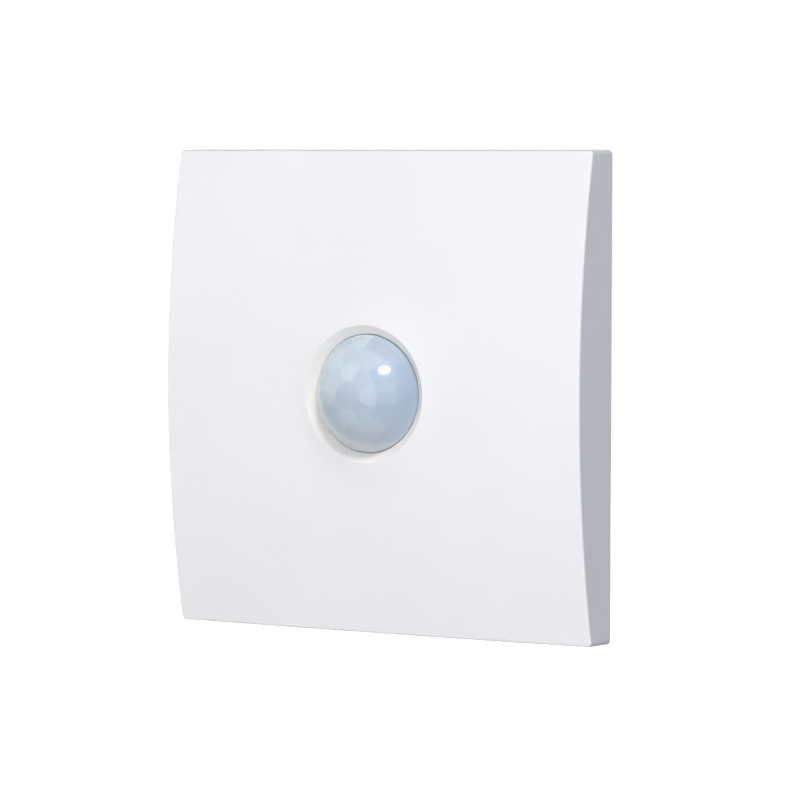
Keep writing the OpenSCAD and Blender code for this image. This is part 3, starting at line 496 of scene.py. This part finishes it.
class CoverSettings(bpy.types.PropertyGroup):
    """Sizes and colour of the cover."""

    front: length_setting("Front", "Height of the middle of the front above the wall, without the rim", 12.3)
    crown: length_setting("Crown", "Rise of the front from its top and bottom edges", 4.6)
    pillow: length_setting("Pillow", "Rise of the front from its left and right edges", 0.9)
    wall: length_setting("Wall", "Thickness of the cover", 2.0)
    edge: length_setting("Edge", "Rounding of the front edges", 0.42)
    corner: length_setting("Corner", "Rounding of the corners seen from the front", 0.85)
    lean: length_setting("Lean", "How far the sides lean in from the wall to the front edge", 0.14)
    throat: length_setting("Throat", "Radius of the opening at its narrowest", 10.55)
    crest: length_setting("Crest", "Radius of the crest of the rim", 12.25)
    crest_round: length_setting("Crest rounding", "Rounding of the crest", 0.35)
    crest_z: length_setting("Crest height", "Height of the crest above the wall", 12.65)
    bevel: length_setting("Bevel", "Depth of the bevel below the crest", 1.4)
    flare: length_setting("Flare", "Radius at which the rim has run out into the front", 20.0)
    tongue_x: length_setting("Tongue place", "Distance of the tongues' inner faces from the middle", 26.1)
    tongue_y: length_setting("Tongue height", "Distance of the tongues' middles from the middle", 14.0)
    tongue_t: length_setting("Tongue thickness", "Thickness of a tongue", 1.4)
    tongue_w: length_setting("Tongue width", "Width of a tongue", 8.0)
    tongue_low: length_setting("Tongue end", "Height of the tongues' free ends above the wall", 1.5)
    lip: length_setting("Lip", "Softness of the inner edges of the opening", 0.08)
    hub: length_setting("Hub", "Radius at which the inside of the front turns in to the opening", 12.85)
    inner_round: length_setting("Inner rounding", "Rounding between the front and the sides inside", 1.0)
    back_round: length_setting("Back rounding", "Rounding of the edges against the wall", 0.25)
    tongue_edge: length_setting("Tongue edge", "Chamfer of the tongues", 0.2)
    colour: colour_setting("Colour", "Colour of the plastic", (0.85, 0.85, 0.86))
    # Painted shade: the tint darkens and warms the bevel round the opening
    rim: colour_setting("Rim", "Tint of the bevel round the opening", (0.985, 0.965, 0.915))


class LensSettings(bpy.types.PropertyGroup):
    """Sizes and colours of the lens."""

    skirt: length_setting("Skirt", "Radius of the lens in the opening", 10.45)
    dome: length_setting("Dome", "Radius of the dome", 11.3)
    skin: length_setting("Skin", "Wall of the lens", 0.9)
    flange: length_setting("Flange", "Thickness of the flange", 1.0)
    chamfer: length_setting("Chamfer", "Chamfer of the flange and of the foot", 0.1)
    groove: length_setting("Groove", "Depth of the steps between the facets inside", 0.12)
    soft: length_setting("Soft edge", "Width over which one facet's tone runs into the next", 0.45)
    # Painted light: the facets get paler towards the top of the dome
    lift: plain_setting("Lift", "How much paler the facets get towards the top", 0.1)
    pale: colour_setting("Pale facets", "Colour of the pale facets", (0.625, 0.705, 0.765))
    deep: colour_setting("Deep facets", "Colour of the deep facets", (0.405, 0.505, 0.615))
    # Painted shading: the lower side of the dome fades to this grey
    grey: colour_setting("Lower facets", "Colour that the facets fade to at the foot", (0.695, 0.715, 0.73))


class InsertSettings(bpy.types.PropertyGroup):
    """Colours of the pieces under and behind the cover."""

    housing: colour_setting("Housing", "Colour of the housings", (0.74, 0.74, 0.71))
    steel: colour_setting("Steel", "Colour of the plated steel", (0.66, 0.67, 0.69))
    brass: colour_setting("Brass", "Colour of the brass", (0.72, 0.56, 0.28))
    board: colour_setting("Board", "Colour of the circuit boards", (0.03, 0.17, 0.07))
    mark_reach: length_setting("Mark reach", "Distance of the marks from the middle of an adjuster", 3.9)
    mark_length: length_setting("Mark length", "Length of a mark", 1.0)
    mark_height: length_setting("Mark height", "Height of a mark above the housing", 0.2)
    mark_edge: length_setting("Mark edge", "Chamfer of a mark, and how far it goes into the housing", 0.05)


class StageSettings(bpy.types.PropertyGroup):
    """Camera, lights and floor."""

    azimuth: angle_setting("Azimuth", "Turn of the camera to the right", 31.704)
    pitch: angle_setting("Pitch", "Height of the camera as an angle", 3.273)
    roll: angle_setting("Roll", "Turn of the camera about its own axis", 0.087)
    distance: length_setting("Distance", "Distance of the camera", 769.8)
    lens: plain_setting("Lens", "Focal length in millimetres on a 36 mm sensor", 193.75)
    aim_x: length_setting("Aim across", "Place across the part that the camera looks at", -0.215)
    aim_z: length_setting("Aim up", "Place up the part that the camera looks at", -1.68)
    drop: length_setting("Floor drop", "Distance of the floor below the part", 150.0)
    floor: colour_setting("Floor", "Colour of the floor", (0.59, 0.59, 0.59))
    low_sky: colour_setting("Low light", "Light from all round near the floor", (0.03, 0.03, 0.03))
    high_sky: colour_setting("High light", "Light from above", (0.05, 0.05, 0.05))
    side_tint: colour_setting("Side tint", "Colour of the light at the right", (0.4, 0.48, 1.0))
    near_reach: length_setting("Near reach", "Distance at which the floor starts to whiten", 250.0)
    far_reach: length_setting("Far reach", "Distance at which the floor is at its whitest", 1100.0)
    near_glow: plain_setting("Near glow", "How much whiter the camera sees the floor below the part", 0.62)
    far_glow: plain_setting("Far glow", "How much whiter the camera sees the floor far away", 0.95)
    front_power: power_setting("Front light", "Power of the light in front", 37.2)
    side_power: power_setting("Side light", "Power of the light at the right", 5.2)
    back_power: power_setting("Back light", "Power of the light behind", 46.0)
    fill_power: power_setting("Fill light", "Power of the light at the left", 9.0)
    key_power: power_setting("Key light", "Power of the small light at the upper right", 11.8)


class SWITCH_OT_make_cover(bpy.types.Operator):
    """Build the cover with its crowned front, opening and tongues"""

    bl_idname = "switch.make_cover"
    bl_label = "Cover"

    def execute(self, context):
        cover = context.scene.switch_cover
        parts = [cover_shell(cover)]
        far_x, far_y = cover.tongue_x + cover.tongue_t, cover.tongue_y + cover.tongue_w / 2
        root = float(crowned(np.array([[far_x, far_y]]), cover)[0]) - cover.wall / 2
        for sx in (-1, 1):
            for sy in (-1, 1):
                xs = sorted((sx * cover.tongue_x, sx * far_x))
                ys = sorted((sy * (far_y - cover.tongue_w), sy * far_y))
                low, high = (xs[0], -root, ys[0]), (xs[1], -cover.tongue_low, ys[1])
                parts.append(soft_box(low, high, cover.tongue_edge))
        obj = mesh_object("cover_shell", *join_parts(parts), cover_plastic(tuple(cover.colour)))
        places = np.array([v.co for v in obj.data.vertices])
        reach = np.hypot(places[:, 0], places[:, 2])
        # Painted shade: points inside the crest take the rim tint, fading in over the crest's rounding
        inside = np.clip((cover.crest - reach) / cover.crest_round, 0, 1)[:, None]
        paint(obj.data, "rim_shade", 1 + inside * (np.array(cover.rim) - 1))
        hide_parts("cover_plate")
        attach(obj, "cover")
        return {"FINISHED"}


class SWITCH_OT_make_lens(bpy.types.Operator):
    """Build the domed lens, smooth outside and with stepped facets inside"""

    bl_idname = "switch.make_lens"
    bl_label = "Lens"

    steps = 192
    dome_steps = 96
    skirt_steps = 5
    inner_steps = 56
    blur_steps = 5
    # Share of deep tone in all facets, and what is added in every second one; the shares added to the foot
    # and to the right are painted shade
    base_tone, second_tone, foot_tone, right_tone = 0.2, 0.22, 0.3, 0.28
    # Share of deep tone in the middle facet and outside the rings of facets
    middle_tone, outer_tone = 0.75, 0.5
    # How much of the grey of the painted shading at the foot the lowest facets take, and how soon
    foot_share, foot_onset = 0.7, 1.5
    # Outer radius in millimetres, number of facets and turn of the first, for each ring of facets
    facet_rings = ((2.4, 1, 0.0), (5.4, 8, -22.5), (8.3, 12, -12.0), (11.0, 16, -9.0))

    def depth(self, x, y):
        """Share of deep tone in the facets at the given places, seen from the front, with painted shade
        deepening the lower and right-hand facets.
        """
        r, turn = np.hypot(x, y), np.arctan2(y, x)
        share = np.full(r.shape, self.outer_tone)
        inside = 0.0
        for ring, (reach, count, first) in enumerate(self.facet_rings):
            number = np.floor(((np.degrees(turn) - first) % 360) / 360 * count)
            middle = np.radians(first + (number + 0.5) * 360 / count)
            tone = self.base_tone + self.second_tone * (number % 2)
            # Painted shade: deeper tone towards the foot, and towards the right in the outer rings
            tone = tone + self.foot_tone * np.maximum(0, -np.sin(middle))
            tone = tone + self.right_tone * ring * np.maximum(0, np.cos(middle))
            if ring == 0:
                tone = np.full(r.shape, self.middle_tone)
            share = np.where((r >= inside) & (r < reach * MM), tone, share)
            inside = reach * MM
        return np.clip(share, 0, 1)

    def section(self, lens):
        """Radius and height of the rings of points outside, and of those inside the dome."""
        low, flange_r, cut = -LENS_HIGH.y, LENS_HIGH.x, lens.chamfer
        middle = -LENS_LOW.y - lens.dome
        inner, bore = lens.dome - lens.skin, lens.skirt - lens.skin
        join, inner_join = math.asin(lens.skirt / lens.dome), math.asin(bore / inner)
        outside = [(lens.dome * math.sin(a), middle + lens.dome * math.cos(a))
                   for a in join * even_shares(self.dome_steps)]
        foot, face = outside[-1][1], low + lens.flange
        outside += [(lens.skirt, foot + t * (face - foot)) for t in even_shares(self.skirt_steps)]
        outside += [(flange_r - cut, face), (flange_r, face - cut), (flange_r, low + cut),
                    (flange_r - cut, low), (bore + cut, low), (bore, low + cut)]
        inside = [(inner * math.sin(a), middle + inner * math.cos(a))
                  for a in inner_join * even_shares(self.inner_steps)[::-1]]
        return outside, inside

    def execute(self, context):
        lens = context.scene.switch_lens
        top = -LENS_LOW.y
        outside, inside = self.section(lens)
        turn = np.linspace(0, 2 * math.pi, self.steps, endpoint=False)
        rings = np.array([wall_point(r * np.cos(turn), r * np.sin(turn), z) for r, z in outside + inside])
        stepped = rings[len(outside):]
        stepped[:, :, 1] -= lens.groove * self.depth(stepped[:, :, 0], stepped[:, :, 2])
        verts = [tuple(wall_point(0, 0, top))] + [tuple(p) for ring in rings for p in ring]
        last = len(verts)
        verts.append(tuple(wall_point(0, 0, top - lens.skin + lens.groove)))
        faces = loft_faces(self.steps, len(rings), first=1)
        tail = last - self.steps
        for i in range(self.steps):
            j = (i + 1) % self.steps
            faces.append((0, 1 + i, 1 + j))
            faces.append((last, tail + j, tail + i))
        obj = mesh_object("lens_dome", verts, faces, lens_plastic())
        self.tone(obj.data, lens)
        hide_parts("lens")
        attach(obj, "insert")
        return {"FINISHED"}

    def tone(self, mesh, lens):
        """Colour the points by the facets behind them, with soft edges, paler towards the top as painted
        light and greyer towards the foot as painted shading.
        """
        places = np.array([v.co for v in mesh.vertices])
        x, y = places[:, 0], places[:, 2]
        reach = np.linspace(-lens.soft / 2, lens.soft / 2, self.blur_steps)
        share = np.mean([self.depth(x + dx, y + dy) for dx in reach for dy in reach], axis=0)[:, None]
        # Painted shading: greyer towards the foot and paler towards the top
        foot = np.clip(-y / lens.skirt, 0, 1)[:, None] ** self.foot_onset * self.foot_share
        lift = 1 + lens.lift * np.clip(y / lens.skirt, 0, 1)[:, None]
        pale, deep, grey = (np.array(c) for c in (lens.pale, lens.deep, lens.grey))
        facets = (pale + share * (deep - pale)) * lift
        paint(mesh, "facet_tone_and_shade", np.minimum(facets * (1 - foot) + grey * foot, 1))


def dress(finishes):
    """Give the nodes of each material slot their finish."""
    for part in frame["record"]["subparts"]:
        finish = finishes.get(part["material_slot"])
        if finish:
            materials = frame["nodes"][part["node"]].data.materials
            materials.clear()
            materials.append(finish)


class SWITCH_OT_finish_housings(bpy.types.Operator):
    """Give the housings, the lens ring and the terminal block their plastics"""

    bl_idname = "switch.finish_housings"
    bl_label = "Housings"

    def execute(self, context):
        dress({
            "housing_white": moulded("housing_white", tuple(context.scene.switch_insert.housing), 0.5),
            "block_white": moulded("block_white", (0.70, 0.70, 0.66), 0.46),
        })
        return {"FINISHED"}


class SWITCH_OT_finish_metal(bpy.types.Operator):
    """Give the frame, springs, screws and clamp cages their metals"""

    bl_idname = "switch.finish_metal"
    bl_label = "Metal"

    def execute(self, context):
        insert = context.scene.switch_insert
        steel, brass = tuple(insert.steel), tuple(insert.brass)
        dress({
            "frame_steel": plated("frame_steel", steel, 0.34),
            "spring_steel": plated("spring_steel", shade(steel, 1.05), 0.24),
            "screw_steel": plated("screw_steel", shade(steel, 0.98), 0.28, (1, 1, 1)),
            "contact_brass": plated("contact_brass", brass, 0.28),
            "cage_brass": plated("cage_brass", shade(brass, 1.08), 0.32, (1, 8, 1)),
        })
        return {"FINISHED"}


class SWITCH_OT_finish_boards(bpy.types.Operator):
    """Give the boards, the chip and the adjusters their finishes"""

    bl_idname = "switch.finish_boards"
    bl_label = "Boards"

    def execute(self, context):
        board = tuple(context.scene.switch_insert.board)
        dress({
            "board_green": lacquered("board_green", board, (0.08, 0.28, 0.10)),
            "epoxy_black": moulded("epoxy_black", (0.02, 0.02, 0.022), 0.5),
            "trimmer_blue": moulded("trimmer_blue", (0.02, 0.08, 0.36), 0.42),
            "knob_ivory": moulded("knob_ivory", (0.76, 0.72, 0.58), 0.4),
        })
        return {"FINISHED"}


class SWITCH_OT_finish_sensor(bpy.types.Operator):
    """Give the infrared sensor, the light cell and the indicator their finishes"""

    bl_idname = "switch.finish_sensor"
    bl_label = "Sensor"

    def execute(self, context):
        dress({
            "sensor_steel": plated("sensor_steel", (0.75, 0.75, 0.75), 0.18, (1, 1, 1)),
            "filter_dark": tinted("filter_dark", (0.03, 0.02, 0.03)),
            "light_cell": moulded("light_cell", (0.55, 0.24, 0.10), 0.25),
            "led_red": tinted("led_red", (0.55, 0.02, 0.015)),
        })
        return {"FINISHED"}


class SWITCH_OT_finish_relay(bpy.types.Operator):
    """Give the relay's case, iron, coil and bobbin their finishes"""

    bl_idname = "switch.finish_relay"
    bl_label = "Relay"

    def execute(self, context):
        dress({
            "relay_blue": moulded("relay_blue", (0.03, 0.13, 0.38), 0.3),
            "relay_iron": plated("relay_iron", (0.42, 0.42, 0.43), 0.4),
            "bobbin_ivory": moulded("bobbin_ivory", (0.68, 0.63, 0.48), 0.5),
            "winding_copper": wound("winding_copper", (0.62, 0.24, 0.08)),
        })
        return {"FINISHED"}


class SWITCH_OT_finish_power(bpy.types.Operator):
    """Give the capacitors, the varistor and the fuse resistor their finishes"""

    bl_idname = "switch.finish_power"
    bl_label = "Power parts"

    def execute(self, context):
        dress({
            "film_yellow": moulded("film_yellow", (0.72, 0.42, 0.04), 0.32),
            "sleeve_blue": moulded("sleeve_blue", (0.02, 0.03, 0.13), 0.24),
            "varistor_blue": moulded("varistor_blue", (0.02, 0.06, 0.30), 0.36),
            "resistor_green": moulded("resistor_green", (0.20, 0.32, 0.20), 0.4),
        })
        return {"FINISHED"}


class SWITCH_OT_make_marks(bpy.types.Operator):
    """Raise the scale marks on the housing round each adjuster"""

    bl_idname = "switch.make_marks"
    bl_label = "Scale marks"

    marks = 11
    sweep = math.radians(270)
    # Widths of the marks and of the two end ones, and length of the end ones, as shares of a mark's length
    width, end_width, end_length = 0.22, 0.34, 1.4

    def execute(self, context):
        insert = context.scene.switch_insert
        base = -HOUSING_LOW.y
        parts = []
        for knob in ("time_knob", "lux_knob"):
            low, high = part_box(knob)
            mid_x, mid_z = (low.x + high.x) / 2, (low.z + high.z) / 2
            for k in range(self.marks):
                end = k in (0, self.marks - 1)
                length = insert.mark_length * (self.end_length if end else 1.0)
                width = insert.mark_length * (self.end_width if end else self.width)
                verts, faces = soft_box(
                    (-width / 2, -base - insert.mark_height, insert.mark_reach),
                    (width / 2, -base + insert.mark_edge, insert.mark_reach + length), insert.mark_edge)
                a = self.sweep * (k / (self.marks - 1) - 0.5)
                c, s = math.cos(a), math.sin(a)
                turned = [(mid_x + x * c + z * s, y, mid_z - x * s + z * c) for x, y, z in verts]
                parts.append((turned, faces))
        material = frame["nodes"]["front_housing"].data.materials[0]
        obj = mesh_object("scale_marks", *join_parts(parts), material, smooth=False)
        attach(obj, "insert")
        return {"FINISHED"}


class SWITCH_OT_make_stage(bpy.types.Operator):
    """Set up the camera, the lights and the floor"""

    bl_idname = "switch.make_stage"
    bl_label = "Stage"

    # Place of each light and its width and height, in metres
    front, front_size = (0.2, -2.28, 0.0), (0.9, 0.9)
    side, side_size = (1.9, -0.7, 0.15), (1.5, 1.5)
    fill, fill_size = (-2.0, -0.1, 0.2), (1.6, 1.6)
    back, back_size = (-0.1, 2.3, 0.15), (2.0, 2.0)
    key, key_size = (0.75, -0.88, 1.11), (0.52, 0.4)
    # Half the width of the floor in metres, its number of squares each way and how much its tone drifts
    floor_reach, floor_steps, floor_drift = 6.0, 12, 0.017
    sensor_width = 36

    def execute(self, context):
        stage, scene = context.scene.switch_stage, context.scene
        self.camera(scene, stage)
        self.world(scene, stage)
        self.lamp(scene, "front_light", stage.front_power, self.front, self.front_size)
        self.lamp(scene, "side_light", stage.side_power, self.side, self.side_size, tint=stage.side_tint)
        self.lamp(scene, "fill_light", stage.fill_power, self.fill, self.fill_size)
        self.lamp(scene, "back_light", stage.back_power, self.back, self.back_size)
        self.lamp(scene, "key_light", stage.key_power, self.key, self.key_size, seen_in_gloss=True)
        self.floor(stage)
        scene.view_settings.view_transform = "Standard"
        return {"FINISHED"}

    def camera(self, scene, stage):
        """Camera that looks at the part from the given turn, height and distance."""
        data = bpy.data.cameras.new("camera")
        data.lens, data.sensor_width = stage.lens, self.sensor_width
        obj = bpy.data.objects.new("camera", data)
        scene.collection.objects.link(obj)
        a, p = stage.azimuth, stage.pitch
        back = Vector((math.sin(a) * math.cos(p), -math.cos(a) * math.cos(p), math.sin(p)))
        right = Vector((math.cos(a), math.sin(a), 0))
        up = back.cross(right)
        c, s = math.cos(stage.roll), math.sin(stage.roll)
        turn = Matrix((c * right + s * up, c * up - s * right, back)).transposed()
        place = Vector((stage.aim_x, 0, stage.aim_z)) + back * stage.distance
        obj.matrix_world = Matrix.Translation(place) @ turn.to_4x4()
        scene.camera = obj

    def world(self, scene, stage):
        """Faint light from all round, and plain white for the camera, for gloss and for glass."""
        world = bpy.data.worlds.new("studio")
        world.use_nodes = True
        nodes, links = world.node_tree.nodes, world.node_tree.links
        nodes.clear()
        coords = nodes.new("ShaderNodeTexCoord")
        split = nodes.new("ShaderNodeSeparateXYZ")
        ramp = nodes.new("ShaderNodeValToRGB")
        run_between(ramp, 0.0, 1.0, stage.low_sky, stage.high_sky)
        lit = nodes.new("ShaderNodeBackground")
        seen = nodes.new("ShaderNodeBackground")
        put(seen, Color=(1, 1, 1, 1))
        path = nodes.new("ShaderNodeLightPath")
        looked_at = path.outputs["Is Camera Ray"]
        for kind in ("Is Glossy Ray", "Is Transmission Ray"):
            either = nodes.new("ShaderNodeMath")
            either.operation = "MAXIMUM"
            links.new(looked_at, either.inputs[0])
            links.new(path.outputs[kind], either.inputs[1])
            looked_at = either.outputs[0]
        mix = nodes.new("ShaderNodeMixShader")
        out = nodes.new("ShaderNodeOutputWorld")
        links.new(coords.outputs["Generated"], split.inputs[0])
        links.new(split.outputs["Z"], ramp.inputs["Fac"])
        links.new(ramp.outputs["Color"], lit.inputs["Color"])
        links.new(looked_at, mix.inputs["Fac"])
        links.new(lit.outputs[0], mix.inputs[1])
        links.new(seen.outputs[0], mix.inputs[2])
        links.new(mix.outputs[0], out.inputs["Surface"])
        scene.world = world

    def lamp(self, scene, name, power, place, size, seen_in_gloss=False, tint=(1, 1, 1)):
        """Soft round light that points at the part."""
        data = bpy.data.lights.new(name, "AREA")
        data.energy, data.color, data.shape = power, tint, "ELLIPSE"
        data.size, data.size_y = size
        obj = bpy.data.objects.new(name, data)
        scene.collection.objects.link(obj)
        obj.location = place
        obj.rotation_euler = (-Vector(place)).to_track_quat("-Z", "Y").to_euler()
        obj.visible_camera = False
        obj.visible_glossy = seen_in_gloss

    def floor(self, stage):
        """Pale floor that looks white to the camera and still takes the part's shadow."""
        f = Finish("floor_white", Roughness=0.7, Specular_IOR_Level=0.2)
        drift = self.floor_drift
        f.colour(f.noise(3), shade(stage.floor, 1 - drift), shade(stage.floor, 1 + drift))
        path = f.nodes.new("ShaderNodeLightPath")
        glow = f.nodes.new("ShaderNodeEmission")
        away = f.nodes.new("ShaderNodeVectorMath")
        away.operation = "LENGTH"
        fade = f.nodes.new("ShaderNodeMapRange")
        put(fade, From_Min=stage.near_reach, From_Max=stage.far_reach)
        put(fade, To_Min=stage.near_glow, To_Max=stage.far_glow)
        amount = f.nodes.new("ShaderNodeMath")
        amount.operation = "MULTIPLY"
        both = f.nodes.new("ShaderNodeAddShader")
        f.links.new(f.coords(), away.inputs[0])
        f.links.new(away.outputs["Value"], fade.inputs["Value"])
        f.links.new(path.outputs["Is Camera Ray"], amount.inputs[0])
        f.links.new(fade.outputs["Result"], amount.inputs[1])
        f.links.new(amount.outputs[0], glow.inputs["Strength"])
        f.links.new(f.shader.outputs[0], both.inputs[0])
        f.links.new(glow.outputs[0], both.inputs[1])
        f.links.new(both.outputs[0], f.nodes["Material Output"].inputs["Surface"])
        z, row = PLATE_LOW.z - stage.drop, self.floor_steps + 1
        line = np.linspace(-self.floor_reach, self.floor_reach, row)
        verts = [(x, y, z) for y in line for x in line]
        faces = [(j * row + i, j * row + i + 1, (j + 1) * row + i + 1, (j + 1) * row + i)
                 for j in range(self.floor_steps) for i in range(self.floor_steps)]
        mesh_object("floor", verts, faces, f.material, smooth=False)


SETTINGS = {
    "switch_cover": CoverSettings,
    "switch_lens": LensSettings,
    "switch_insert": InsertSettings,
    "switch_stage": StageSettings,
}
OPERATORS = (
    SWITCH_OT_make_cover, SWITCH_OT_make_lens, SWITCH_OT_finish_housings, SWITCH_OT_finish_metal,
    SWITCH_OT_finish_boards, SWITCH_OT_finish_sensor, SWITCH_OT_finish_relay, SWITCH_OT_finish_power,
    SWITCH_OT_make_marks, SWITCH_OT_make_stage)


class SWITCH_PT_panel(bpy.types.Panel):
    """Buttons and settings of the light switch"""

    bl_idname = "SWITCH_PT_panel"
    bl_label = "Motion sensor light switch"
    bl_space_type = "VIEW_3D"
    bl_region_type = "UI"
    bl_category = "Switch"

    def draw(self, context):
        for operator in OPERATORS:
            self.layout.operator(operator.bl_idname)
        for name, group in SETTINGS.items():
            box = self.layout.box()
            for key in group.__annotations__:
                box.prop(getattr(context.scene, name), key)


def register():
    for cls in (*SETTINGS.values(), *OPERATORS, SWITCH_PT_panel):
        bpy.utils.register_class(cls)
    for name, cls in SETTINGS.items():
        setattr(bpy.types.Scene, name, bpy.props.PointerProperty(type=cls))


def unregister():
    for name in SETTINGS:
        delattr(bpy.types.Scene, name)
    for cls in (SWITCH_PT_panel, *reversed(OPERATORS), *reversed(SETTINGS.values())):
        bpy.utils.unregister_class(cls)


def main():
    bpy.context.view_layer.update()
    register()
    bpy.ops.switch.make_cover()
    bpy.ops.switch.make_lens()
    bpy.ops.switch.finish_housings()
    bpy.ops.switch.finish_metal()
    bpy.ops.switch.finish_boards()
    bpy.ops.switch.finish_sensor()
    bpy.ops.switch.finish_relay()
    bpy.ops.switch.finish_power()
    bpy.ops.switch.make_marks()
    bpy.ops.switch.make_stage()


if __name__ == "__main__":
    main()
